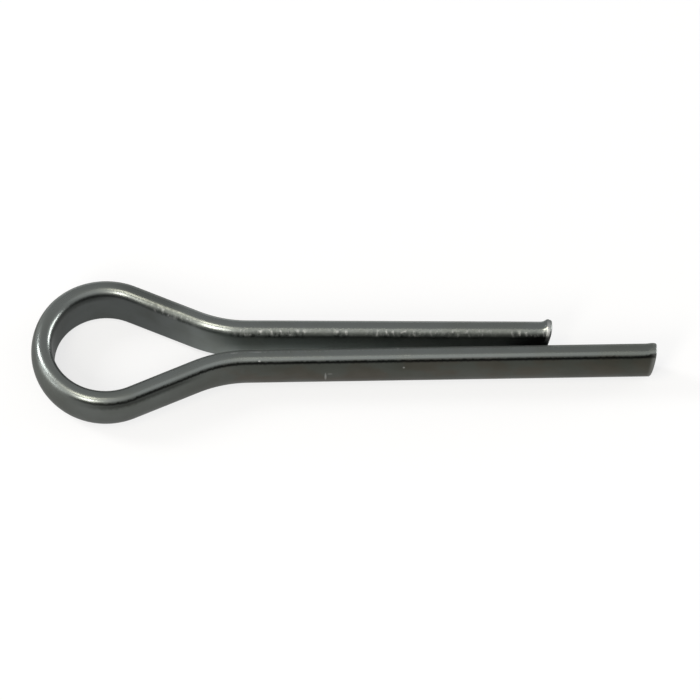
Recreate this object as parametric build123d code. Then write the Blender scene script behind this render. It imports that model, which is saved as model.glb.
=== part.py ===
from build123d import *
import math
import os

# Cotter pin bent from one length of half-round wire. It lies flat, eye towards -X, both
# legs running to +X, with the lower rim of the wire on Z = 0. Lengths are millimetres.

# wire: flat inside, crowned back, all four corners rounded
wire_width = 4.55
wire_thickness = 1.96
crown_share = 0.29
shoulder_share = 0.415
edge_share = 0.42
edge_limit_share = 0.97
wire_lean = 4.3

# eye, flanks and neck, measured on the flat inside face of the wire
eye_radius = 4.72
flank_angle = 24.5
neck_radius = 12.4
neck_gap = 1.15

# legs, measured from the centre of the eye
leg_toe_in = 0.67
short_leg_reach = 39.5
long_leg_reach = 48.9

# sheared ends: the lower edge is set back and the rim is rolled over
shear_slant = 11.0
rim_share = 0.12
stock_share = 1.5
cutter_shares = (2.0, 2.0)

node = "cotter_pin"

lean = wire_lean
flank = math.radians(flank_angle)
toe = math.radians(leg_toe_in)
slant = math.radians(shear_slant)
half_gap = neck_gap / 2
half_width = wire_width / 2
stock = wire_thickness * stock_share
short_side = 1
long_side = -1

# neck arcs are tangent to the flank of the eye and to the leg
neck_drop = eye_radius + neck_radius - (half_gap + neck_radius) * math.cos(flank)
neck_x = neck_drop / math.sin(flank)


def neck_point(side, angle):
    """A point on the neck arc of one leg, at the given slope of the wire."""
    x = neck_x - neck_radius * math.sin(angle)
    y = half_gap + neck_radius - neck_radius * math.cos(angle)
    return Vector(x, side * y, 0)


def leg_point(side, reach):
    """The point of one leg's inside face at a distance from the centre of the eye."""
    root = neck_point(side, toe)
    return Vector(reach, root.Y - side * math.tan(toe) * (reach - root.X), 0)


def eye_point(side):
    """Where the flank runs into the eye."""
    return Vector(eye_radius * math.sin(flank), side * eye_radius * math.cos(flank), 0)


def neck_arc(side, start_angle, end_angle):
    """The reverse bend between a flank and its leg."""
    middle = neck_point(side, (start_angle + end_angle) / 2)
    return ThreePointArc(neck_point(side, start_angle), middle, neck_point(side, end_angle))


# path of the inside face, from the long tip round the eye to the short tip
path = Line(leg_point(long_side, long_leg_reach + stock), neck_point(long_side, toe))
path += neck_arc(long_side, toe, flank)
path += Line(neck_point(long_side, flank), eye_point(long_side))
path += ThreePointArc(eye_point(long_side), Vector(-eye_radius, 0, 0), eye_point(short_side))
path += Line(eye_point(short_side), neck_point(short_side, flank))
path += neck_arc(short_side, flank, toe)
path += Line(neck_point(short_side, toe), leg_point(short_side, short_leg_reach + stock))

# section of the wire: local X runs outwards from the flat, local Y upwards
crown = wire_thickness * crown_share
shoulder_radius = wire_thickness * shoulder_share
shoulder_out = wire_thickness - crown
flat_low = (0, -half_width)
flat_high = (0, half_width)
shoulder_low = (shoulder_out, -half_width)
shoulder_high = (shoulder_out, half_width)
back = (wire_thickness, 0)

outline = Line(flat_low, flat_high)
outline += Line(flat_high, shoulder_high)
outline += ThreePointArc(shoulder_high, back, shoulder_low)
outline += Line(shoulder_low, flat_low)
section = make_face(outline.edges())
corners = section.vertices().group_by(Axis.X)
section = fillet(corners[-1], shoulder_radius)

# the inner corners take no more of the upper and lower side than the shoulders leave
back_turn = 2 * math.atan(crown / half_width)
shoulder_run = shoulder_radius * math.tan(math.pi / 4 - back_turn / 2)
edge_room = (shoulder_out - shoulder_run) * edge_limit_share
edge_radius = min(wire_thickness * edge_share, edge_room)
corners = [v for v in section.vertices() if abs(v.X) < edge_radius / 2]
section = fillet(corners, edge_radius)
section = Rot(0, 0, -lean) * section

start = path.wires()[0]
section_plane = Plane(start @ 0, x_dir=(0, long_side, 0), z_dir=start % 0)
pin = sweep(section_plane * section, path=start)


def end_cutter(side, reach, inward):
    """The waste beyond the sheared end of one leg, cut that far inwards from its flat face."""
    tip = leg_point(side, reach)
    facing = Vector(math.cos(slant), 0, -math.sin(slant))
    plane = Plane(tip, x_dir=(0, 1, 0), z_dir=facing)
    outward_share, height_share = cutter_shares
    width = inward + wire_thickness * outward_share
    face = Rectangle(width, wire_width * height_share)
    return extrude(plane * Pos(side * (width / 2 - inward), 0) * face, amount=stock * 2)


# the long tip is cut right across, the short one only up to the middle plane, clear of the long leg
short_tip = leg_point(short_side, short_leg_reach)
pin -= end_cutter(long_side, long_leg_reach, stock)
pin -= end_cutter(short_side, short_leg_reach, short_tip.Y)

# rolled rim of the two sheared ends
square = math.cos(math.radians(shear_slant * 2))
ends = [f for f in pin.faces().filter_by(GeomType.PLANE) if f.normal_at().X > square]
rim = [e for f in ends for e in f.edges()]
pin = fillet(rim, wire_thickness * rim_share)

# lie it on Z = 0, centred on its box
box = pin.bounding_box()
pin = Pos(-box.center().X, -box.center().Y, -box.min.Z) * pin

os.makedirs("parts", exist_ok=True)
export_step(pin, f"parts/{node}.step")

low = pin.bounding_box().min
high = pin.bounding_box().max
print("box", low, high)
print("volume", pin.volume, "section", section.area, "run", start.length)
print("eye centre", -box.center().X, -box.center().Y, -box.min.Z)
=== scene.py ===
"""A steel cotter pin: half-round wire bent into an eye and two uneven legs with sheared ends."""

import logging
import math
from dataclasses import dataclass
from enum import Enum, IntEnum
from typing import Union

import bpy
import numpy as np
from mathutils import Matrix, Vector

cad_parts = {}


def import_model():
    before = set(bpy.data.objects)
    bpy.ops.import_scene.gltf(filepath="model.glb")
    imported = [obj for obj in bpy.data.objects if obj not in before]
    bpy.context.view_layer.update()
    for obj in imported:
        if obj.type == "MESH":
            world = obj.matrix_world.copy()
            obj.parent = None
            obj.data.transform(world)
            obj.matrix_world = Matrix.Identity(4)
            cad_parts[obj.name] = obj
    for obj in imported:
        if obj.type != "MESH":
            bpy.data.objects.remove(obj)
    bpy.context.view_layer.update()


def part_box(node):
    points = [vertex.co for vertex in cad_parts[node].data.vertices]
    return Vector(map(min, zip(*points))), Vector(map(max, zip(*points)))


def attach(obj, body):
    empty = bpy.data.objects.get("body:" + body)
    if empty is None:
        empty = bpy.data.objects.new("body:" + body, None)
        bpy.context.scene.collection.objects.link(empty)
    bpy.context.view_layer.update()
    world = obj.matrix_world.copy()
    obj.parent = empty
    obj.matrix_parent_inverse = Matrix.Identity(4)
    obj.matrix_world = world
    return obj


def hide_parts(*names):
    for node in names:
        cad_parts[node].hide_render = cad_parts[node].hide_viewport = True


MM = 0.001
NODE = "cotter_pin"
BODY = "root"
WIRE_MAP = "wire"
QUARTER_TURN = math.pi / 2
SEED = 53

Array = np.ndarray
Place = tuple[float, float, float]
Colour = tuple[float, float, float, float]
WHITE: Colour = (1.0, 1.0, 1.0, 1.0)
log = logging.getLogger("cotter_pin")


def smooth_step(value: Array) -> Array:
    """Eases from 0 to 1 as the value goes from 0 to 1: 3 v squared less 2 v cubed."""
    v = np.clip(value, 0.0, 1.0)
    return v * v * (3.0 - 2.0 * v)


class Face(IntEnum):
    """Runs of the wire's outline, once round from the middle of the underside."""

    UNDERSIDE = 0
    LOWER_EDGE = 1
    FLAT = 2
    UPPER_EDGE = 3
    TOP = 4
    SHOULDER = 5
    BACK = 6
    LOWER_SHOULDER = 7
    UNDERSIDE_REST = 8


class Stretch(IntEnum):
    """Runs of the wire's way, from the long tip to the short one."""

    LONG_LEG = 0
    LONG_NECK = 1
    LONG_FLANK = 2
    EYE = 3
    SHORT_FLANK = 4
    SHORT_NECK = 5
    SHORT_LEG = 6


class Leg(Enum):
    """The two legs, by the sign of the way from their tips to the eye along the wire."""

    LONG = 1
    SHORT = -1


@dataclass(frozen=True)
class Route:
    """A plane line of straight runs and arcs, each one tangent to the run before it."""

    start: tuple[float, float]
    heading: float
    lengths: tuple[float, ...]
    turns: tuple[float, ...]

    @property
    def total(self) -> float:
        """Length of the whole line."""
        return sum(self.lengths)

    def place_of(self, run: int, share: float = 0.5) -> float:
        """Distance along the line to a share of one of its runs."""
        return sum(self.lengths[:run]) + share * self.lengths[run]

    def distances(self, counts: tuple[int, ...]) -> Array:
        """Even steps within each run, without the line's last point.

        Args:
            counts: how many steps each run is divided into.

        Returns:
            Distances along the line, rising from 0.
        """
        ends = np.concatenate(([0.0], np.cumsum(self.lengths)))
        runs = zip(ends[:-1], ends[1:], counts)
        return np.concatenate([np.linspace(a, b, n, endpoint=False) for a, b, n in runs])

    def at(self, distance: Array) -> tuple[Array, Array, Array]:
        """Points and headings of the line.

        The heading grows evenly along a run, so the chord from the run's start has the mean of the
        two headings, and its length is d sin(h) / h, where d is the distance and h is half of the
        turn so far.

        Args:
            distance: distances along the line, in any shape; the end runs go on beyond their ends.

        Returns:
            First coordinate, second coordinate and heading, in the shape of the distances.
        """
        lengths = np.array(self.lengths)
        bends = np.array(self.turns) / lengths
        ends = np.concatenate(([0.0], np.cumsum(lengths)))
        headings = self.heading + np.concatenate(([0.0], np.cumsum(self.turns)))

        def chord(first: Array, bend: Array, length: Array) -> Array:
            """Chord of an arc.

            Args:
                first: heading at the arc's start.
                bend: turn for each unit of length.
                length: length of the arc.

            Returns:
                The chord's two coordinates, stacked.
            """
            half = bend * length / 2
            reach = length * np.sinc(half / np.pi)
            return np.stack((reach * np.cos(first + half), reach * np.sin(first + half)))

        steps = np.cumsum(chord(headings[:-1], bends, lengths), axis=1)
        corners = np.array(self.start)[:, None] + np.concatenate((np.zeros((2, 1)), steps), axis=1)
        run = np.clip(np.searchsorted(ends, distance, side="right") - 1, 0, len(bends) - 1)
        along = distance - ends[run]
        across = chord(headings[run], bends[run], along)
        x, y = corners[:, run] + across
        return x, y, headings[run] + bends[run] * along


@dataclass(frozen=True)
class WireSection:
    """The wire seen end on: a flat inside, a crowned back and four rounded corners."""

    width: float = 4.55 * MM
    thickness: float = 1.96 * MM
    crown: float = 0.568 * MM
    shoulder: float = 0.813 * MM
    edge: float = 0.823 * MM
    lean: float = math.radians(4.3)
    steps: tuple[int, ...] = (1, 12, 13, 12, 2, 13, 14, 13, 1)

    def route(self) -> Route:
        """The outline, once round from the middle of the underside, flat first.

        The back is an arc through the crown and the two corners that the shoulders round off. A
        shoulder's centre lies one shoulder radius inside the back's arc and inside the upper face.

        Returns:
            A closed line in the plane of the section, outwards from the flat and upwards.
        """
        half = self.width / 2
        back = (half**2 + self.crown**2) / (2 * self.crown)
        middle = self.thickness - back
        rise = half - self.shoulder
        run = math.sqrt((back - self.shoulder) ** 2 - rise**2)
        back_angle = math.atan2(rise, run)
        top = middle + run - self.edge
        corner = self.edge * QUARTER_TURN
        turn = QUARTER_TURN - back_angle
        return Route(
            start=(self.edge + top / 2, -half),
            heading=math.pi,
            lengths=(
                top / 2, corner, self.width - 2 * self.edge, corner, top,
                self.shoulder * turn, 2 * back * back_angle, self.shoulder * turn, top / 2,
            ),
            turns=(0, -QUARTER_TURN, 0, -QUARTER_TURN, 0, -turn, -2 * back_angle, -turn, 0),
        )

    def place_of(self, face: Face, share: float = 0.5) -> float:
        """Distance round the outline to a share of one of its runs."""
        return self.route().place_of(face, share)

    def ring(self) -> tuple[Array, Array, Array, Array, Array]:
        """Points and outward normals of the outline, leaning outwards at the top.

        Returns:
            Distance round the outline, outward and upward places, outward and upward normals.
        """
        route = self.route()
        around = route.distances(self.steps)
        out, up, heading = route.at(around)
        cos, sin = math.cos(self.lean), math.sin(self.lean)
        facing = heading + QUARTER_TURN - self.lean
        return around, out * cos + up * sin, up * cos - out * sin, np.cos(facing), np.sin(facing)


@dataclass(frozen=True)
class PinCourse:
    """The way of the wire's flat inside face, seen from above, from the long tip to the short."""

    eye_radius: float = 4.72 * MM
    flank: float = math.radians(24.5)
    neck_radius: float = 12.4 * MM
    neck_gap: float = 1.15 * MM
    toe_in: float = math.radians(0.67)
    short_reach: float = 39.5 * MM
    long_reach: float = 48.9 * MM
    leg_step: float = 0.1 * MM
    bend_step: float = 0.2 * MM

    def route(self) -> Route:
        """Leg, neck, flank, eye, flank, neck and leg, about the centre of the eye.

        A neck is an arc that is tangent to its flank and to its leg, and a flank is tangent to
        the eye.

        Returns:
            The line in X and Y.
        """
        half_gap = self.neck_gap / 2
        drop = self.eye_radius + self.neck_radius
        drop -= (half_gap + self.neck_radius) * math.cos(self.flank)
        root_x = drop / math.sin(self.flank) - self.neck_radius * math.sin(self.toe_in)
        root_y = half_gap + self.neck_radius * (1 - math.cos(self.toe_in))
        bend = self.flank - self.toe_in
        neck = self.neck_radius * bend
        rise = self.eye_radius * math.cos(self.flank) - half_gap
        rise -= self.neck_radius * (1 - math.cos(self.flank))
        flank = rise / math.sin(self.flank)
        loop = math.pi + 2 * self.flank
        long_leg = (self.long_reach - root_x) / math.cos(self.toe_in)
        short_leg = (self.short_reach - root_x) / math.cos(self.toe_in)
        return Route(
            start=(self.long_reach, math.tan(self.toe_in) * (self.long_reach - root_x) - root_y),
            heading=math.pi + self.toe_in,
            lengths=(long_leg, neck, flank, self.eye_radius * loop, flank, neck, short_leg),
            turns=(0, bend, 0, -loop, 0, bend, 0),
        )

    def stations(self) -> Array:
        """Places of the mesh's rows, closer together on the legs than on the bends.

        Returns:
            Distances along the wire, from tip to tip.
        """
        route = self.route()
        bends = (self.bend_step,) * (len(route.lengths) - 2)
        steps = (self.leg_step, *bends, self.leg_step)
        counts = tuple(math.ceil(n / step) for n, step in zip(route.lengths, steps))
        return np.append(route.distances(counts), route.total)


@dataclass(frozen=True)
class ShearedEnd:
    """A leg's end as the shear leaves it: slanted, with a rounded rim and a burr on one side."""

    leg: Leg
    slant: float
    upper_rim: float
    lower_rim: float
    burr_face: Face
    burr_height: float
    burr_setback: float
    burr_reach: float
    burr_width: float = 0.8 * MM
    tooth_heights: tuple[float, float] = (0.22, 0.15)
    tooth_waves: tuple[float, float] = (5200.0, 11300.0)
    tooth_phase: float = 1.0
    fade: float = 3.0 * MM
    relief: float = 0.03 * MM
    relief_waves: tuple[float, float] = (2100.0, 2730.0)
    rim_steps: int = 7
    face_steps: int = 9

    def tip(self, route: Route) -> float:
        """Distance along the wire to this end."""
        return 0.0 if self.leg is Leg.LONG else route.total

    def rim(self, up: Array, half: float) -> Array:
        """Radius of the rim, eased from the upper side to the lower side."""
        share = smooth_step((1.0 - up / half) / 2)
        return self.upper_rim + (self.lower_rim - self.upper_rim) * share

    def burr(self, around: Array, section: WireSection) -> Array:
        """Height of the burr: a bell about the middle of one run, times two waves of teeth.

        Args:
            around: distances round the section.
            section: the wire, for the place of the run.

        Returns:
            Heights, one for each distance.
        """
        total = section.route().total
        gap = around - section.place_of(self.burr_face)
        gap = (gap + total / 2) % total - total / 2
        coarse, fine = self.tooth_heights
        long_wave, short_wave = self.tooth_waves
        teeth = 1 + coarse * np.sin(gap * long_wave)
        teeth = teeth + fine * np.sin(gap * short_wave + self.tooth_phase)
        return self.burr_height * teeth * np.exp(-((gap / self.burr_width) ** 2))

    def cap(self) -> tuple[Array, Array]:
        """Rows that close the end, from the wire to the middle of the face.

        Returns:
            Rim angles from 0 to a quarter turn, and scales from 1 to almost 0.
        """
        rim = np.linspace(0, QUARTER_TURN, self.rim_steps + 1)[1:]
        face = np.linspace(1, 0, self.face_steps + 1)[1:-1]
        angle = np.concatenate((rim, np.full(len(face), QUARTER_TURN)))
        return angle, np.concatenate((np.ones(len(rim)), face))


@dataclass(frozen=True)
class WornSpan:
    """A stretch of the short side's inner edge that the bending tool has battered."""

    first: float
    last: float
    share: float


WORN_SPANS = (
    WornSpan(68.6 * MM, 72.6 * MM, 0.55),
    WornSpan(76.5 * MM, 83.0 * MM, 1.0),
    WornSpan(85.5 * MM, 87.0 * MM, 0.8),
    WornSpan(89.2 * MM, 93.2 * MM, 0.9),
    WornSpan(94.4 * MM, 99.4 * MM, 0.6),
    WornSpan(101.6 * MM, 104.5 * MM, 0.7),
)


@dataclass(frozen=True)
class EdgeNicks:
    """Small dents along the worn stretches of the upper inner edge."""

    share: float = 0.3
    density: float = 4500.0
    depth: tuple[float, float] = (0.007 * MM, 0.022 * MM)
    length: tuple[float, float] = (0.1 * MM, 0.22 * MM)
    height: tuple[float, float] = (0.14 * MM, 0.32 * MM)
    wander: float = 0.13 * MM

    def field(self, along: Array, around: Array, section: WireSection, seed: int) -> Array:
        """Depth of all the dents at each point of the surface.

        A dent is a bell along the wire times a bell round it, so that the sum over all dents is one
        matrix product of the bells along and the bells round.

        Args:
            along: distances along the wire.
            around: distances round the section.
            section: the wire, for the place of the edge.
            seed: start of the random draws.

        Returns:
            Signed heights, one row for each station and one column for each point of the section.
        """
        draw = np.random.default_rng(seed)
        counts = [round(self.density * s.share * (s.last - s.first)) for s in WORN_SPANS]
        centres = [draw.uniform(s.first, s.last, n) for s, n in zip(WORN_SPANS, counts)]
        centre = np.concatenate(centres)
        count = len(centre)
        length = draw.uniform(*self.length, count)
        height = draw.uniform(*self.height, count)
        depth = draw.uniform(*self.depth, count)
        place = section.place_of(Face.UPPER_EDGE, self.share) + draw.normal(0, self.wander, count)
        bells_along = np.exp(-(((along[:, None] - centre) / length) ** 2))
        bells_round = np.exp(-(((around[:, None] - place) / height) ** 2))
        return (bells_along * -depth) @ bells_round.T


class Value:
    """A shader socket that can be used in Python sums: each operator adds one Math node."""

    def __init__(self, board: "Board", socket: bpy.types.NodeSocket) -> None:
        """Wraps a socket of a board's tree."""
        self.board = board
        self.socket = socket

    def math(self, operation: str, *others: "Number") -> "Value":
        """Adds a Math node with this value first."""
        sockets = {i: v for i, v in enumerate((self, *others))}
        return self.board.value("ShaderNodeMath", {"operation": operation}, sockets)

    def __add__(self, other: "Number") -> "Value":
        """Sum."""
        return self.math("ADD", other)

    def __sub__(self, other: "Number") -> "Value":
        """Difference."""
        return self.math("SUBTRACT", other)

    def __mul__(self, other: "Number") -> "Value":
        """Product."""
        return self.math("MULTIPLY", other)

    def __truediv__(self, other: "Number") -> "Value":
        """Quotient."""
        return self.math("DIVIDE", other)

    def __pow__(self, other: "Number") -> "Value":
        """Power."""
        return self.math("POWER", other)

    def __rsub__(self, other: float) -> "Value":
        """A number less this value."""
        return self.board.value("ShaderNodeMath", {"operation": "SUBTRACT"}, {0: other, 1: self})

    __radd__ = __add__
    __rmul__ = __mul__

    def either(self, other: "Value") -> "Value":
        """The larger of two values."""
        return self.math("MAXIMUM", other)

    def ramp(self, low: float, high: float) -> "Value":
        """Eases from 0 to 1 as this value goes from low to high.

        Args:
            low: where the result leaves 0.
            high: where the result reaches 1.

        Returns:
            The eased value.
        """
        settings = {"interpolation_type": "SMOOTHSTEP", "clamp": True}
        sockets = {"Value": self, "From Min": low, "From Max": high}
        return self.board.value("ShaderNodeMapRange", settings, sockets)

    def band(self, low: float, high: float, soft: float) -> "Value":
        """1 between low and high, with edges twice as wide as soft."""
        return self.ramp(low - soft, low + soft) * (1 - self.ramp(high - soft, high + soft))


Number = Union[Value, float]
Shade = Union[Value, Colour]
Output = Union[int, str]


class Board:
    """The node tree of one material or world."""

    def __init__(self, tree: bpy.types.NodeTree) -> None:
        """Empties the tree."""
        self.tree = tree
        tree.nodes.clear()

    def node(self, kind: str, settings: dict, sockets: dict) -> bpy.types.Node:
        """Adds any node.

        Args:
            kind: the node's type.
            settings: the node's own properties, set first.
            sockets: numbers, colours or sockets for its inputs, by name or place.

        Returns:
            The new node.
        """
        node = self.tree.nodes.new(kind)
        for name, setting in settings.items():
            setattr(node, name, setting)
        for name, given in sockets.items():
            if isinstance(given, Value):
                given = given.socket
            if isinstance(given, bpy.types.NodeSocket):
                self.tree.links.new(given, node.inputs[name])
            else:
                node.inputs[name].default_value = given
        return node

    def value(self, kind: str, settings: dict, sockets: dict, output: Output = 0) -> Value:
        """Adds a node and wraps one of its outputs."""
        return Value(self, self.node(kind, settings, sockets).outputs[output])

    def mix(self, share: Number, first: Shade, second: Shade, blend: str = "MIX") -> Value:
        """A colour between two others; sockets 6 and 7 and output 2 are the node's colours."""
        settings = {"data_type": "RGBA", "blend_type": blend}
        return self.value("ShaderNodeMix", settings, {0: share, 6: first, 7: second}, 2)

    def tinted(self, share: Number, colour: Shade, tint: Colour) -> Value:
        """A colour multiplied by another, as far as the share goes."""
        return self.mix(share, colour, tint, "MULTIPLY")

    def scaled(self, vector: Value, factors: Place) -> Value:
        """A vector with each part multiplied by its own factor."""
        settings = {"operation": "MULTIPLY"}
        return self.value("ShaderNodeVectorMath", settings, {0: vector, 1: factors})

    def noise(self, vector: Value, scale: float, detail: float) -> Value:
        """Soft noise about a half."""
        sockets = {"Vector": vector, "Scale": scale, "Detail": detail}
        return self.value("ShaderNodeTexNoise", {}, sockets)


class WireMap:
    """The wire's own map in a material: metres along the wire and round it."""

    def __init__(self, board: Board, section: WireSection, course: PinCourse) -> None:
        """Reads the map, and measures the wire from its long tip and from the eye's middle.

        Args:
            board: the material's tree.
            section: the wire, kept for the places round it.
            course: the way of the wire, for the places along it.
        """
        self.section = section
        self.vector = board.value("ShaderNodeUVMap", {"uv_map": WIRE_MAP}, {})
        split = board.node("ShaderNodeSeparateXYZ", {}, {0: self.vector})
        self.along = Value(board, split.outputs[0])
        self.around = Value(board, split.outputs[1])
        route = course.route()
        self.total = route.total
        self.eye_start = route.place_of(Stretch.EYE, 0.0)
        self.eye_middle = route.place_of(Stretch.EYE)
        self.eye_end = route.place_of(Stretch.EYE, 1.0)
        self.half_eye = self.eye_end - self.eye_middle
        self.flank_end = route.place_of(Stretch.SHORT_FLANK, 1.0) - self.eye_middle
        self.leg_start = route.place_of(Stretch.SHORT_NECK, 1.0) - self.eye_middle
        self.short_tip = route.total - self.eye_middle
        self.from_eye = (self.along - self.eye_middle).math("ABSOLUTE")


@dataclass(frozen=True)
class Strip:
    """A strip that follows the wire, with soft sides, from one place of its outline to another."""

    first: tuple[Face, float]
    last: tuple[Face, float]
    soft: float

    def mask(self, around: Value, section: WireSection) -> Value:
        """1 within the strip, from a distance round the wire."""
        first, last = section.place_of(*self.first), section.place_of(*self.last)
        return around.band(first, last, self.soft)


@dataclass(frozen=True)
class Span:
    """A stretch of the wire with soft ends."""

    first: float
    last: float
    soft: float

    def mask(self, distance: Value, origin: float = 0.0) -> Value:
        """1 within the stretch, from a distance along the wire and the place it is counted from."""
        return distance.band(origin + self.first, origin + self.last, self.soft)


@dataclass(frozen=True)
class Mark:
    """One small bright scrape, by its place on the wire's own map."""

    along: float
    around: float
    length: float
    height: float
    strength: float

    def mask(self, wire: WireMap) -> Value:
        """Falls from the strength in the middle to 0 on an ellipse.

        Args:
            wire: the wire's own map.

        Returns:
            Share of bright steel.
        """
        across = ((wire.along - self.along) / self.length) ** 2.0
        height = ((wire.around - self.around) / self.height) ** 2.0
        return (1 - (across + height).ramp(0.0, 1.0)) * self.strength


@dataclass(frozen=True)
class SteelMasks:
    """Noises of the steel, and shares from 0 to 1 of what shows at each place of the wire."""

    stain: Value
    lines: Value
    grain: Value
    ragged: Value
    on_flat: Value
    on_back: Value
    on_short: Value
    on_end: Value
    rubbed: Value
    worn: Value
    # Share of bright steel, partly a painted highlight on the short rim.
    bright: Value
    # Share of painted shade.
    dark: Value


@dataclass(frozen=True)
class EdgeWear:
    """Wear of the upper inner edge: rubbed steel, bright nicks, scrapes and rims (the short rim's
    crescent partly a painted highlight), with painted shade for dark notches and a shade towards
    the tip.
    """

    rubbed_strip: Strip = Strip((Face.UPPER_EDGE, 0.2), (Face.UPPER_EDGE, 0.66), 0.206 * MM)
    rubbed_rise: float = 3.5 * MM
    polished_span: Span = Span(73.6 * MM, 76.2 * MM, 0.8 * MM)
    long_side_share: float = 0.2
    least_battered: float = 0.14
    battered_soft: float = 0.4 * MM

    nick_range: tuple[float, float] = (0.5, 0.7)
    nick_strength: float = 0.4
    # Painted shade: dark notches where the edge is battered, and a shade towards the tip.
    notch_shade_range: tuple[float, float] = (0.48, 0.6)
    notch_shade_strip: Strip = Strip((Face.UPPER_EDGE, 0.0), (Face.UPPER_EDGE, 0.34), 0.137 * MM)
    shade_strip: Strip = Strip((Face.UPPER_EDGE, 0.0), (Face.UPPER_EDGE, 0.46), 0.274 * MM)
    shade_rise: tuple[float, float] = (74.0 * MM, 100.0 * MM)
    shade_strength: float = 0.8

    long_rim: float = 0.16
    long_rim_fade: tuple[float, float] = (-0.1 * MM, 0.4 * MM)
    # Bright cut steel; the short rim's crescent is partly a painted highlight.
    short_rim: float = 0.8
    short_rim_span: Span = Span(-0.22 * MM, 0.06 * MM, 0.06 * MM)
    short_rim_strip: Strip = Strip((Face.FLAT, 0.9), (Face.SHOULDER, 0.3), 0.412 * MM)

    marks: tuple[Mark, ...] = (
        Mark(29.3 * MM, 8.5 * MM, length=0.12 * MM, height=0.95 * MM, strength=0.2),
        Mark(28.9 * MM, 7.9 * MM, length=0.3 * MM, height=0.16 * MM, strength=0.09),
        Mark(22.3 * MM, 7.1 * MM, length=0.13 * MM, height=0.15 * MM, strength=0.2),
        Mark(35.2 * MM, 6.1 * MM, length=0.14 * MM, height=0.1 * MM, strength=0.7),
        Mark(37.5 * MM, 5.2 * MM, length=0.5 * MM, height=0.12 * MM, strength=0.25),
        Mark(35.4 * MM, 5.2 * MM, length=0.6 * MM, height=0.1 * MM, strength=0.25),
        Mark(22.8 * MM, 4.9 * MM, length=0.15 * MM, height=0.12 * MM, strength=0.5),
    )

    def straight(self, wire: WireMap) -> Value:
        """1 on flanks, necks and legs, and 0 on the eye."""
        return wire.from_eye.ramp(wire.half_eye, wire.half_eye + self.rubbed_rise)

    def rubbed(self, wire: WireMap, ragged: Value) -> Value:
        """The rubbed edge, but for the stretch at the short side's neck that is polished."""
        strip = self.rubbed_strip.mask(ragged, wire.section)
        return strip * self.straight(wire) * (1 - self.polished_span.mask(wire.along))

    def worn(self, rubbed: Value, on_short: Value) -> Value:
        """The rubbed edge, less so on the long side."""
        return rubbed * (self.long_side_share + (1 - self.long_side_share) * on_short)

    def battered(self, wire: WireMap) -> Number:
        """How closely nicks and notches lie along the wire.

        Args:
            wire: the wire's own map.

        Returns:
            The least share, raised in each worn stretch.
        """
        made: Number = self.least_battered
        for span in WORN_SPANS:
            made = span.share * wire.along.band(span.first, span.last, self.battered_soft) + made
        return made

    def rims(self, wire: WireMap) -> Value:
        """Bright steel on the sheared rims: all round the long one, a crescent on the short one
        that is partly a painted highlight.

        Args:
            wire: the wire's own map.

        Returns:
            Share of bright steel.
        """
        long_rim = self.long_rim * (1 - wire.along.ramp(*self.long_rim_fade))
        crescent = self.short_rim_span.mask(wire.along, wire.total)
        crescent = crescent * self.short_rim_strip.mask(wire.around, wire.section)
        return long_rim + self.short_rim * crescent

    def bright(self, wire: WireMap, grain: Value, worn: Value) -> Value:
        """Bare bright steel: nicks where the grain is high, the sheared rims, partly a painted
        highlight, and the scrapes.

        Args:
            wire: the wire's own map.
            grain: the fine noise.
            worn: share of the worn edge.

        Returns:
            Share of bright steel.
        """
        nicks = grain.ramp(*self.nick_range) * worn * self.battered(wire) * self.nick_strength
        made = nicks.either(self.rims(wire))
        for mark in self.marks:
            made = made.either(mark.mask(wire))
        return made

    def dark(self, wire: WireMap, grain: Value, ragged: Value, on_short: Value) -> Value:
        """Painted shade: dark notches below the edge where the grain is low, and a shade towards
        the tip.

        Args:
            wire: the wire's own map.
            grain: the fine noise.
            ragged: distance round the wire, made uneven by the grain.
            on_short: share of the short side.

        Returns:
            Share of dark steel.
        """
        notches = (1 - grain).ramp(*self.notch_shade_range) * self.notch_shade_strip.mask(ragged, wire.section)
        notches = notches * self.battered(wire) * on_short * self.straight(wire)
        shade = self.shade_strip.mask(ragged, wire.section) * wire.along.ramp(*self.shade_rise)
        return notches.either(shade * self.shade_strength)


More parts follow.
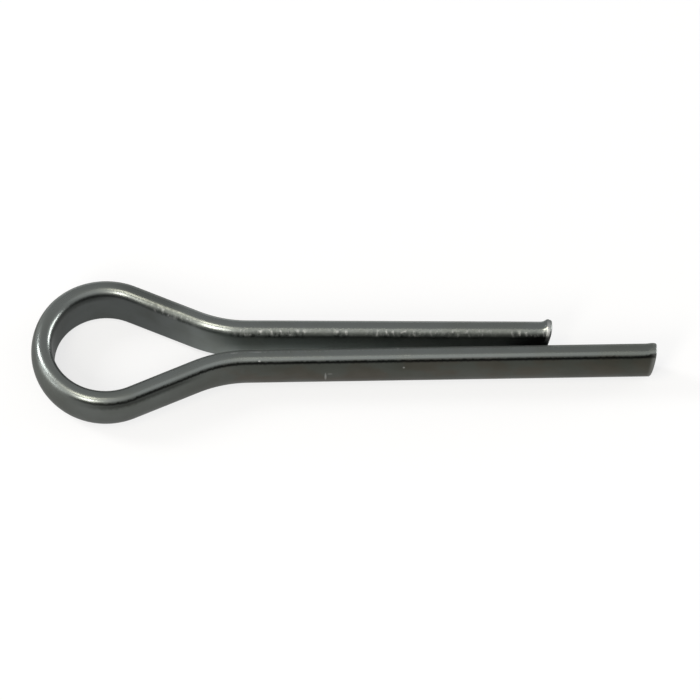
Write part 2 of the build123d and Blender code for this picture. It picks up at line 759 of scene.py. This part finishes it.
@dataclass(frozen=True)
class SteelFinish:
    """Bare drawn steel gone dark grey with a worn inner edge; the darker back and flat, dark lines
    and paler bends are painted shade and light.
    """

    edge: Colour = (0.267, 0.289, 0.280, 1.0)
    # Painted shade: the back as darker copies of the edges' steel, darkest at the top; painted
    # light: the paler bent back.
    shaded_upper_back: Colour = (0.057, 0.061, 0.053, 1.0)
    shaded_lower_back: Colour = (0.085, 0.088, 0.078, 1.0)
    lit_bent_back: Colour = (0.114, 0.122, 0.115, 1.0)
    # Painted shade: the flat as a darker copy of the edges' steel; painted light: the lit flat,
    # paler where the legs lie close.
    flat: Colour = (0.086, 0.093, 0.091, 1.0)
    lit_flat: Colour = (0.285, 0.312, 0.298, 1.0)
    # Painted shade: near-black for the painted dark lines, notches and shades.
    painted_shade: Colour = (0.024, 0.026, 0.024, 1.0)
    bright_steel_and_highlight: Colour = (0.80, 0.81, 0.79, 1.0)
    cut_face: Colour = (0.13, 0.135, 0.13, 1.0)
    grazing: Colour = (0.58, 0.58, 0.58, 1.0)

    stain: Colour = (0.80, 0.79, 0.74, 1.0)
    warm_patch: Colour = (1.0, 0.91, 0.87, 1.0)
    tip_shade: Colour = (0.84, 0.84, 0.82, 1.0)
    # Dulling tint: partly wear on the rubbed edge, partly painted shade on a stretch of the edge.
    dull_wear_and_shade: Colour = (0.71, 0.71, 0.70, 1.0)

    stain_scale: float = 330.0
    stain_detail: float = 4.0
    stain_range: tuple[float, float] = (0.35, 0.7)
    stain_share: float = 0.5
    line_factors: Place = (60.0, 9000.0, 0.0)
    grain_factors: Place = (3300.0, 1700.0, 0.0)
    fine_detail: float = 3.0
    patch_factors: Place = (330.0, 400.0, 0.0)
    patch_detail: float = 2.0
    patch_range: tuple[float, float] = (0.4, 0.6)
    raggedness: float = 0.4 * MM

    flat_strip: Strip = Strip((Face.LOWER_EDGE, 0.65), (Face.UPPER_EDGE, 0.35), 0.206 * MM)
    back_strip: Strip = Strip((Face.SHOULDER, 0.6), (Face.LOWER_SHOULDER, 0.4), 0.206 * MM)
    low_back_share: float = 0.6
    bent_back_fade: float = 6.0 * MM
    lit_flat_fade: float = 1.2 * MM
    lit_flat_power: float = 1.7
    lit_flat_tip: float = 5.0 * MM
    tip_shade_fade: float = 20.0 * MM
    shaded_span: Span = Span(65.6 * MM, 71.0 * MM, 1.2 * MM)
    end_rise: tuple[float, float] = (0.04 * MM, 0.16 * MM)

    # Painted shade: a dark reflection line along the upper shoulder, bent at the long tip.
    shoulder_shade_strip: Strip = Strip((Face.SHOULDER, 0.66), (Face.SHOULDER, 0.9), 0.116 * MM)
    shoulder_shade_rise: tuple[float, float] = (4.0 * MM, 9.0 * MM)
    shoulder_shade_curl: float = 0.25 * MM
    shoulder_shade_curl_fade: float = 1.2 * MM
    # Painted shade below the shoulder's dark line, on the bends beside the eye.
    under_shade_strip: Strip = Strip((Face.SHOULDER, 0.85), (Face.BACK, 0.1), 0.271 * MM)
    under_shade_span: Span = Span(6.5 * MM, 15.0 * MM, 2.0 * MM)
    under_shade_share: float = 0.75
    # Painted shade along the flat's top, under the far rim of the eye on the short side.
    far_rim_shade_strip: Strip = Strip((Face.FLAT, 0.92), (Face.UPPER_EDGE, 0.3), 0.274 * MM)
    far_rim_shade_span: Span = Span(0.0, 7.5 * MM, 1.5 * MM)
    far_rim_shade_share: float = 0.7
    dark_share: float = 0.55

    edge_roughness: float = 0.21
    face_roughness: float = 0.32
    cut_roughness: float = 0.5
    worn_roughness: float = 0.24
    line_roughness: float = 0.08
    stain_roughness: float = 0.06
    bent_roughness: float = 0.05
    bent_roughness_fade: float = 3.0 * MM
    scuff_roughness: float = 0.14
    scuff_span: Span = Span(-4.9 * MM, -1.5 * MM, 1.0 * MM)
    scuff_strip: Strip = Strip((Face.SHOULDER, 0.2), (Face.BACK, 0.35), 0.407 * MM)

    bump_distance: float = 0.03 * MM
    line_bump: float = 0.06
    grain_bump: float = 0.12
    nick_bump: float = 0.8
    wear: EdgeWear = EdgeWear()

    def masks(self, board: Board, wire: WireMap) -> SteelMasks:
        """Builds the noises and the shares.

        Args:
            board: the material's tree.
            wire: the wire's own map.

        Returns:
            The values that colour, roughness and relief are made from.
        """
        place = board.value("ShaderNodeTexCoord", {}, {}, "Object")
        stain = board.noise(place, self.stain_scale, self.stain_detail)
        lines = board.noise(board.scaled(wire.vector, self.line_factors), 1.0, self.fine_detail)
        grain = board.noise(board.scaled(wire.vector, self.grain_factors), 1.0, self.fine_detail)
        ragged = wire.around + (grain - 0.5) * self.raggedness
        on_short = wire.along.ramp(wire.eye_start, wire.eye_end)
        first, last = self.end_rise
        on_short_end = wire.along.ramp(wire.total + first, wire.total + last)
        on_long_end = 1 - wire.along.ramp(-last, -first)
        rubbed = self.wear.rubbed(wire, ragged)
        worn = self.wear.worn(rubbed, on_short)
        return SteelMasks(
            stain=stain.ramp(*self.stain_range),
            lines=lines,
            grain=grain,
            ragged=ragged,
            on_flat=self.flat_strip.mask(wire.around, wire.section),
            on_back=self.back_strip.mask(wire.around, wire.section),
            on_short=on_short,
            on_end=on_short_end + on_long_end,
            rubbed=rubbed,
            worn=worn,
            bright=self.wear.bright(wire, grain, worn),
            dark=self.wear.dark(wire, grain, ragged, on_short),
        )

    def back_colour(self, board: Board, wire: WireMap) -> Value:
        """The back: painted shade, darker than the edges and darker above than below on the legs,
        and painted lighter where the wire is bent.

        Args:
            board: the material's tree.
            wire: the wire's own map.

        Returns:
            The back's colour.
        """
        upper = wire.section.place_of(Face.BACK, 0.0)
        lower = wire.section.place_of(Face.BACK, self.low_back_share)
        back = board.mix(wire.around.ramp(upper, lower), self.shaded_upper_back, self.shaded_lower_back)
        on_leg = wire.from_eye.ramp(wire.half_eye, wire.leg_start + self.bent_back_fade)
        return board.mix(on_leg, self.lit_bent_back, back)

    def flat_colour(self, board: Board, wire: WireMap) -> Value:
        """The flat inside: painted light that is paler the closer the legs lie, but not at the
        short one's tip.

        Args:
            board: the material's tree.
            wire: the wire's own map.

        Returns:
            The flat's colour.
        """
        close = wire.from_eye.ramp(wire.half_eye, wire.leg_start + self.lit_flat_fade)
        tip = wire.from_eye.ramp(wire.short_tip - self.lit_flat_tip, wire.short_tip)
        return board.mix(close**self.lit_flat_power * (1 - tip), self.flat, self.lit_flat)

    def shoulder_shade(self, board: Board, wire: WireMap, ragged: Value, colour: Value) -> Value:
        """Lays on painted shade: the dark line of the upper shoulder, bent at the long tip, and a
        shade below it.

        Args:
            board: the material's tree.
            wire: the wire's own map.
            ragged: distance round the wire, made uneven by the grain.
            colour: the colour so far.

        Returns:
            The darkened colour.
        """
        curl = self.shoulder_shade_curl * (1 - wire.along.ramp(0.0, self.shoulder_shade_curl_fade))
        line = self.shoulder_shade_strip.mask(ragged + curl, wire.section)
        line = line * wire.from_eye.ramp(*self.shoulder_shade_rise)
        colour = board.mix(line, colour, self.painted_shade)
        under = self.under_shade_strip.mask(ragged, wire.section) * self.under_shade_span.mask(wire.from_eye)
        return board.mix(under * self.under_shade_share, colour, self.painted_shade)

    def colour(self, board: Board, wire: WireMap, masks: SteelMasks) -> Value:
        """Lays the colours over each other.

        Args:
            board: the material's tree.
            wire: the wire's own map.
            masks: the shares of what shows where.

        Returns:
            The base colour: the wire's sides with their painted shade and light first, then stain
                and painted shades, then wear and cut faces.
        """
        colour = board.mix(masks.on_back, self.edge, self.back_colour(board, wire))
        colour = self.shoulder_shade(board, wire, masks.ragged, colour)
        colour = board.mix(masks.on_flat, colour, self.flat_colour(board, wire))

        colour = board.tinted(masks.stain * self.stain_share, colour, self.stain)
        patches = board.scaled(wire.vector, self.patch_factors)
        patches = board.noise(patches, 1.0, self.patch_detail).ramp(*self.patch_range)
        on_leg = wire.from_eye.ramp(wire.flank_end, wire.leg_start)
        colour = board.tinted(masks.on_back * patches * on_leg, colour, self.warm_patch)
        # Painted shade under the far rim of the eye.
        far_rim_shade = self.far_rim_shade_strip.mask(masks.ragged, wire.section) * masks.on_short
        far_rim_shade = far_rim_shade * self.far_rim_shade_span.mask(wire.from_eye) * self.far_rim_shade_share
        colour = board.mix(far_rim_shade, colour, self.painted_shade)
        # Painted shade, darker towards the long tip.
        colour = board.tinted(1 - wire.along.ramp(0.0, self.tip_shade_fade), colour, self.tip_shade)
        # Painted shade on a stretch of the edge on the short side.
        dull_wear_and_shade = self.shaded_span.mask(wire.along) * (1 - masks.on_flat)
        colour = board.tinted(dull_wear_and_shade, colour, self.dull_wear_and_shade)

        # Rubbed edge dulled: partly wear, partly painted shade.
        colour = board.tinted(masks.worn, colour, self.dull_wear_and_shade)
        # Painted shade from the notches and from the shade towards the tip.
        colour = board.mix(masks.dark * self.dark_share, colour, self.painted_shade)
        # Bright steel of nicks, scrapes and rims, partly a painted highlight.
        colour = board.mix(masks.bright, colour, self.bright_steel_and_highlight)
        cut = board.tinted(masks.stain, self.cut_face, self.stain)
        return board.mix(masks.on_end, colour, cut)

    def roughness(self, wire: WireMap, masks: SteelMasks) -> Value:
        """Smoother on the edges, rougher where the wire is rubbed, bent, scuffed or cut.

        Args:
            wire: the wire's own map.
            masks: the shares of what shows where.

        Returns:
            The roughness.
        """
        faces = masks.on_flat.either(masks.on_back)
        rough = self.edge_roughness + (self.face_roughness - self.edge_roughness) * faces
        rough = rough + self.line_roughness * (masks.lines - 0.5)
        rough = rough + self.stain_roughness * masks.stain + self.worn_roughness * masks.rubbed
        bent_end = wire.leg_start + self.bent_roughness_fade
        rough = rough + self.bent_roughness * (1 - wire.from_eye.ramp(wire.flank_end, bent_end))
        scuff = self.scuff_span.mask(wire.along, wire.eye_middle)
        scuff = scuff * self.scuff_strip.mask(wire.around, wire.section)
        rough = rough + self.scuff_roughness * scuff
        return rough + masks.on_end * (self.cut_roughness - rough)

    def relief(self, board: Board, masks: SteelMasks) -> Value:
        """Fine drawn lines and grain, deeper on the worn edge, and none on the cut faces.

        Args:
            board: the material's tree.
            masks: the shares of what shows where.

        Returns:
            The bumped normal.
        """
        grain = masks.grain * (self.grain_bump + self.nick_bump * masks.worn)
        height = (masks.lines * self.line_bump + grain) * (1 - masks.on_end)
        sockets = {"Strength": 1.0, "Distance": self.bump_distance, "Height": height}
        return board.value("ShaderNodeBump", {}, sockets, "Normal")

    def material(self, section: WireSection, course: PinCourse) -> bpy.types.Material:
        """Builds the steel.

        Args:
            section: the wire, for the places of its edges round the map.
            course: the way of the wire, for the places of neck and legs along the map.

        Returns:
            A material that reads Object coordinates and the wire's own map.
        """
        made = bpy.data.materials.new("drawn_steel")
        made.use_nodes = True
        board = Board(made.node_tree)
        wire = WireMap(board, section, course)
        masks = self.masks(board, wire)
        sockets = {
            "Base Color": self.colour(board, wire, masks),
            "Metallic": 1.0,
            "Roughness": self.roughness(wire, masks),
            "Normal": self.relief(board, masks),
            "Specular Tint": self.grazing,
        }
        shader = board.value("ShaderNodeBsdfPrincipled", {}, sockets)
        board.node("ShaderNodeOutputMaterial", {}, {"Surface": shader})
        return made


@dataclass(frozen=True)
class CotterPin:
    """The pin: one length of half-round wire, bent round an eye."""

    section: WireSection = WireSection()
    course: PinCourse = PinCourse()
    long_end: ShearedEnd = ShearedEnd(
        leg=Leg.LONG, slant=math.radians(9.0), upper_rim=0.16 * MM, lower_rim=0.07 * MM,
        burr_face=Face.UPPER_EDGE, burr_height=0.08 * MM,
        burr_setback=0.18 * MM, burr_reach=0.3 * MM,
    )
    short_end: ShearedEnd = ShearedEnd(
        leg=Leg.SHORT, slant=math.radians(11.0), upper_rim=0.26 * MM, lower_rim=0.16 * MM,
        burr_face=Face.SHOULDER, burr_height=0.21 * MM,
        burr_setback=0.14 * MM, burr_reach=0.28 * MM,
    )
    map_rim: float = 0.16 * MM
    nicks: EdgeNicks = EdgeNicks()
    finish: SteelFinish = SteelFinish()

    @property
    def ends(self) -> tuple[ShearedEnd, ShearedEnd]:
        """The two ends, in the order of the wire's way."""
        return self.long_end, self.short_end

    def surface(self) -> tuple[Array, Array, Array]:
        """Carries the section along the course and closes the two ends.

        Each row has a station along the wire, a rim angle (0 on the wire, a quarter turn on an
        end's face) and a scale about the middle of the section (1 but on the faces, where it falls
        to 0). A rim of radius r draws the outline in by r (1 - cos angle) and lies r (1 - sin
        angle) short of the end. A slanted end goes further out by the height above the middle times
        the slope of the slant.

        Returns:
            Places as rows by columns by three, distances along as rows, and distances round as
            columns. On an end, the distance along goes on over the rim and the face.
        """
        section, route = self.section, self.course.route()
        around, out, up, out_normal, up_normal = section.ring()
        half, centre = section.width / 2, section.thickness / 2
        stations = self.course.stations()
        long_angle, long_scale = self.long_end.cap()
        short_angle, short_scale = self.short_end.cap()
        body = np.zeros(len(stations))
        angle = np.concatenate((long_angle[::-1], body, short_angle))[:, None]
        scale = np.concatenate((long_scale[::-1], body + 1, short_scale))[:, None]
        before, after = np.zeros(len(long_angle)), np.full(len(short_angle), route.total)
        along = np.concatenate((before, stations, after))

        push = self.nicks.field(along, around, section, SEED)
        for end in self.ends:
            from_tip = np.abs(along - end.tip(route))[:, None]
            near = np.exp(-(((from_tip - end.burr_setback) / end.burr_reach) ** 2))
            push = push + near * end.burr(around, section)
            push = push - (from_tip < end.fade) * end.rim(up, half) * (1 - np.cos(angle))
        rows_out = centre + (out + push * out_normal - centre) * scale
        rows_up = (up + push * up_normal) * scale

        distance = np.broadcast_to(along[:, None], rows_out.shape).copy()
        for end in self.ends:
            fade = smooth_step(1 - np.abs(along - end.tip(route)) / end.fade)[:, None]
            up_wave, out_wave = end.relief_waves
            waves = np.sin(rows_up * up_wave) * np.sin(rows_out * out_wave)
            back = end.rim(up, half) * (1 - np.sin(angle)) + end.relief * waves * (1 - scale)
            distance += end.leg.value * fade * (back - rows_up * math.tan(end.slant))
        x, y, heading = route.at(distance)
        x, y = x - np.sin(heading) * rows_out, y + np.cos(heading) * rows_out
        beyond = (angle * self.map_rim + (1 - scale) * centre)[:, 0]
        along = along + np.where(along > 0, beyond, -beyond)
        return np.stack((x, y, rows_up), axis=-1), along, around

    @staticmethod
    def faces(rows: int, columns: int) -> tuple[Array, Array]:
        """Quads between neighbouring rows, and a fan of triangles about a pole at each end.

        Args:
            rows: how many rows of points there are.
            columns: how many points each row has.

        Returns:
            Corners of the quads and of the triangles; the two poles are the points after the rows.
        """
        row, column = np.meshgrid(np.arange(rows - 1), np.arange(columns), indexing="ij")
        beside = (column + 1) % columns
        corners = [row * columns + column, (row + 1) * columns + column]
        corners += [(row + 1) * columns + beside, row * columns + beside]
        quads = np.stack(corners, axis=-1).reshape(-1, 4)
        ring = np.arange(columns)
        after = (ring + 1) % columns
        last = (rows - 1) * columns
        pole = np.full(columns, rows * columns)
        first_fan = np.stack((pole, ring, after), axis=-1)
        last_fan = np.stack((pole + 1, last + after, last + ring), axis=-1)
        return quads, np.concatenate((first_fan, last_fan))

    def map_corners(self, along: Array, around: Array) -> Array:
        """The wire's own map: metres along it and round it, at each corner of each face.

        Args:
            along: distances along the wire, as rows.
            around: distances round the section, as columns.

        Returns:
            Pairs in the order of the faces: quads, first fan, last fan.
        """
        edges = np.append(around, self.section.route().total)
        row, column = np.meshgrid(np.arange(len(along) - 1), np.arange(len(around)), indexing="ij")
        u = along[np.stack((row, row + 1, row + 1, row), axis=-1)]
        v = edges[np.stack((column, column, column + 1, column + 1), axis=-1)]
        fan_v = np.stack((edges[:-1], edges[:-1], edges[1:]), axis=-1)
        maps = (
            np.stack((u, v), axis=-1),
            np.stack((np.full(fan_v.shape, along[0]), fan_v), axis=-1),
            np.stack((np.full(fan_v.shape, along[-1]), fan_v[:, (0, 2, 1)]), axis=-1),
        )
        return np.concatenate([part.reshape(-1, 2) for part in maps])

    def mesh(self, low: Vector, high: Vector) -> bpy.types.Mesh:
        """Makes the closed mesh, set into the box of the pin's solid.

        Args:
            low: lowest corner of the solid.
            high: highest corner of the solid.

        Returns:
            A mesh with smooth faces and the wire's own map.
        """
        places, along, around = self.surface()
        rows, columns = places.shape[:2]
        plain = places.reshape(-1, 3)
        body = plain[np.repeat((along > 0) & (along < self.course.route().total), columns)]
        least, most = body.min(axis=0), body.max(axis=0)
        middle_y = (low.y + high.y) / 2 - (least[1] + most[1]) / 2
        shift = np.array([low.x - least[0], middle_y, low.z - least[2]])
        poles = np.stack((places[0].mean(axis=0), places[-1].mean(axis=0)))
        points = np.concatenate((plain, poles)) + shift
        quads, fans = self.faces(rows, columns)

        made = bpy.data.meshes.new("cotter_pin_wire")
        made.from_pydata(points.tolist(), [], quads.tolist() + fans.tolist())
        layer = made.uv_layers.new(name=WIRE_MAP)
        corners = self.map_corners(along, around)
        layer.data.foreach_set("uv", corners.astype(np.float32).ravel())
        made.polygons.foreach_set("use_smooth", np.ones(len(made.polygons), bool))
        made.update()
        return made

    def build(self) -> bpy.types.Object:
        """Makes the pin in place of its solid.

        Returns:
            The piece, dressed, riding on the root body.
        """
        mesh = self.mesh(*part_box(NODE))
        mesh.materials.append(self.finish.material(self.section, self.course))
        piece = bpy.data.objects.new("bent_wire", mesh)
        bpy.context.scene.collection.objects.link(piece)
        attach(piece, BODY)
        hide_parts(NODE)
        return piece


@dataclass(frozen=True)
class SoftLamp:
    """A rectangle of even light that faces the pin; angles are in degrees, lengths in metres."""

    name: str
    azimuth: float
    elevation: float
    width: float
    height: float
    radiance: float
    colour: Place = (1.0, 1.0, 1.0)
    distance: float = 0.6

    def towards(self) -> Vector:
        """The way from the pin to the lamp, from its azimuth about +X and its elevation.

        Returns:
            A unit vector.
        """
        turn, rise = math.radians(self.azimuth), math.radians(self.elevation)
        level = math.cos(rise)
        return Vector((level * math.cos(turn), level * math.sin(turn), math.sin(rise)))

    def build(self) -> bpy.types.Object:
        """Makes the lamp; its power is radiance times pi times its area.

        Returns:
            The lamp, turned to the pin and unseen by the camera.
        """
        lamp = bpy.data.lights.new(self.name, "AREA")
        lamp.shape = "RECTANGLE"
        lamp.size = self.width
        lamp.size_y = self.height
        lamp.color = self.colour
        lamp.energy = self.radiance * math.pi * self.width * self.height
        piece = bpy.data.objects.new(self.name, lamp)
        towards = self.towards()
        turn = towards.to_track_quat("Z", "Y").to_matrix().to_4x4()
        piece.matrix_world = Matrix.Translation(towards * self.distance) @ turn
        piece.visible_camera = False
        bpy.context.scene.collection.objects.link(piece)
        return piece


@dataclass(frozen=True)
class StagePlane:
    """A flat rectangle of the studio, floor or card, that is no part of the pin.

    It is given by its centre and by the ways from there to the middles of two of its sides.
    """

    name: str
    centre: Place
    first_way: Place
    second_way: Place
    colour: Colour
    glow: float = 0.0
    mirrored_only: bool = False

    def material(self) -> bpy.types.Material:
        """Builds matt paint, lifted towards white by the glow where it is seen.

        Returns:
            A diffuse material with a share of white for camera, glossy and transmission rays.
        """
        made = bpy.data.materials.new(self.name)
        made.use_nodes = True
        board = Board(made.node_tree)
        rays = board.node("ShaderNodeLightPath", {}, {}).outputs
        names = ("Is Camera Ray", "Is Glossy Ray", "Is Transmission Ray")
        camera, glossy, through = (Value(board, rays[name]) for name in names)
        seen = camera.either(glossy).either(through)
        matt = board.value("ShaderNodeBsdfDiffuse", {}, {"Color": self.colour})
        white = board.value("ShaderNodeEmission", {}, {"Color": WHITE, "Strength": 1.0})
        paint = board.value("ShaderNodeMixShader", {}, {0: seen * self.glow, 1: matt, 2: white})
        board.node("ShaderNodeOutputMaterial", {}, {"Surface": paint})
        return made

    def build(self) -> bpy.types.Object:
        """Makes the rectangle, corner by corner round its centre.

        Returns:
            The rectangle.
        """
        centre, first, second = Vector(self.centre), Vector(self.first_way), Vector(self.second_way)
        signs = ((-1, -1), (1, -1), (1, 1), (-1, 1))
        corners = [centre + first * i + second * j for i, j in signs]
        mesh = bpy.data.meshes.new(self.name)
        mesh.from_pydata(corners, [], [(0, 1, 2, 3)])
        mesh.materials.append(self.material())
        made = bpy.data.objects.new(self.name, mesh)
        made.visible_camera = not self.mirrored_only
        made.visible_diffuse = not self.mirrored_only
        made.visible_shadow = not self.mirrored_only
        bpy.context.scene.collection.objects.link(made)
        return made


@dataclass(frozen=True)
class Studio:
    """A pale floor, a grey surround, a dark card on the near side and a few soft lamps."""

    floor: StagePlane = StagePlane(
        "pale_floor", centre=(0.0, 0.0, -0.02 * MM), first_way=(3.0, 0.0, 0.0),
        second_way=(0.0, 3.0, 0.0), colour=(0.95, 0.95, 0.95, 1.0), glow=0.72,
    )
    card: StagePlane = StagePlane(
        "dark_card", centre=(7.5 * MM, -45.0 * MM, 10.0 * MM), first_way=(67.5 * MM, 0.0, 0.0),
        second_way=(0.0, 0.0, 10.0 * MM), colour=(0.01, 0.01, 0.01, 1.0), mirrored_only=True,
    )
    ambient: float = 0.4
    lamps: tuple[SoftLamp, ...] = (
        SoftLamp("front_lamp", -90.0, 62.0, width=0.8, height=0.44, radiance=0.29),
        SoftLamp(
            "high_key_lamp", -148.0, 70.0, width=0.14, height=0.17, radiance=6.4,
            colour=(1.0, 0.93, 0.77),
        ),
        SoftLamp(
            "low_key_lamp", -120.0, 41.0, width=0.14, height=0.25, radiance=10.6,
            colour=(1.0, 0.96, 0.88),
        ),
        SoftLamp("left_lamp", 160.0, 37.0, width=0.14, height=0.2, radiance=15.0),
        SoftLamp("right_lamp", 12.0, 9.0, width=0.42, height=0.2, radiance=9.0),
        SoftLamp("low_left_lamp", -166.0, 4.0, width=0.2, height=0.16, radiance=18.0),
    )

    def surround(self) -> None:
        """Makes the world, one even grey light."""
        world = bpy.data.worlds.new("surround")
        bpy.context.scene.world = world
        world.use_nodes = True
        board = Board(world.node_tree)
        sockets = {"Color": WHITE, "Strength": self.ambient}
        light = board.value("ShaderNodeBackground", {}, sockets)
        board.node("ShaderNodeOutputWorld", {}, {"Surface": light})

    def build(self) -> None:
        """Sets up floor, card, surround and lamps."""
        self.floor.build()
        self.card.build()
        self.surround()
        for lamp in self.lamps:
            lamp.build()
            log.info("lamp %s", lamp.name)


@dataclass(frozen=True)
class PhotoCamera:
    """A long lens that looks down on the pin from its near side."""

    elevation: float = math.radians(59.94)
    yaw: float = math.radians(0.18)
    roll: float = math.radians(-0.18)
    distance: float = 1789.0 * MM
    lens: float = 1028.6
    sensor: float = 36.0
    aim: Place = (0.172 * MM, 0.0, 2.336 * MM)
    frame_offset: tuple[float, float] = (0.366 * MM, 0.156 * MM)

    def build(self) -> bpy.types.Object:
        """Makes the scene's camera.

        The view direction is the horizontal yaw dipped by the elevation; right and up are turned
        about it by the roll. The frame's centre lies a little to the right of the aim and above it.

        Returns:
            The camera.
        """
        level = Vector((math.cos(self.yaw), -math.sin(self.yaw), 0))
        ahead = Vector((math.sin(self.yaw), math.cos(self.yaw), 0))
        down = Vector((0, 0, -1))
        forward = ahead * math.cos(self.elevation) + down * math.sin(self.elevation)
        steep = level.cross(forward)
        right = level * math.cos(self.roll) + steep * math.sin(self.roll)
        up = steep * math.cos(self.roll) - level * math.sin(self.roll)
        across, above = self.frame_offset
        place = Vector(self.aim) + right * across + up * above - forward * self.distance
        lens = bpy.data.cameras.new("photo_camera")
        lens.lens = self.lens
        lens.sensor_width = self.sensor
        made = bpy.data.objects.new("photo_camera", lens)
        turn = Matrix((right, up, -forward)).transposed().to_4x4()
        made.matrix_world = Matrix.Translation(place) @ turn
        bpy.context.scene.collection.objects.link(made)
        bpy.context.scene.camera = made
        return made


def main() -> None:
    """Builds the pin, the studio and the camera, and logs the piece's face count."""
    logging.basicConfig(level=logging.INFO, format="%(name)s: %(message)s")
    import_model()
    pin = CotterPin().build()
    log.info("piece %s: %d faces", pin.name, len(pin.data.polygons))
    Studio().build()
    PhotoCamera().build()
    bpy.context.scene.view_settings.view_transform = "Standard"


if __name__ == "__main__":
    main()
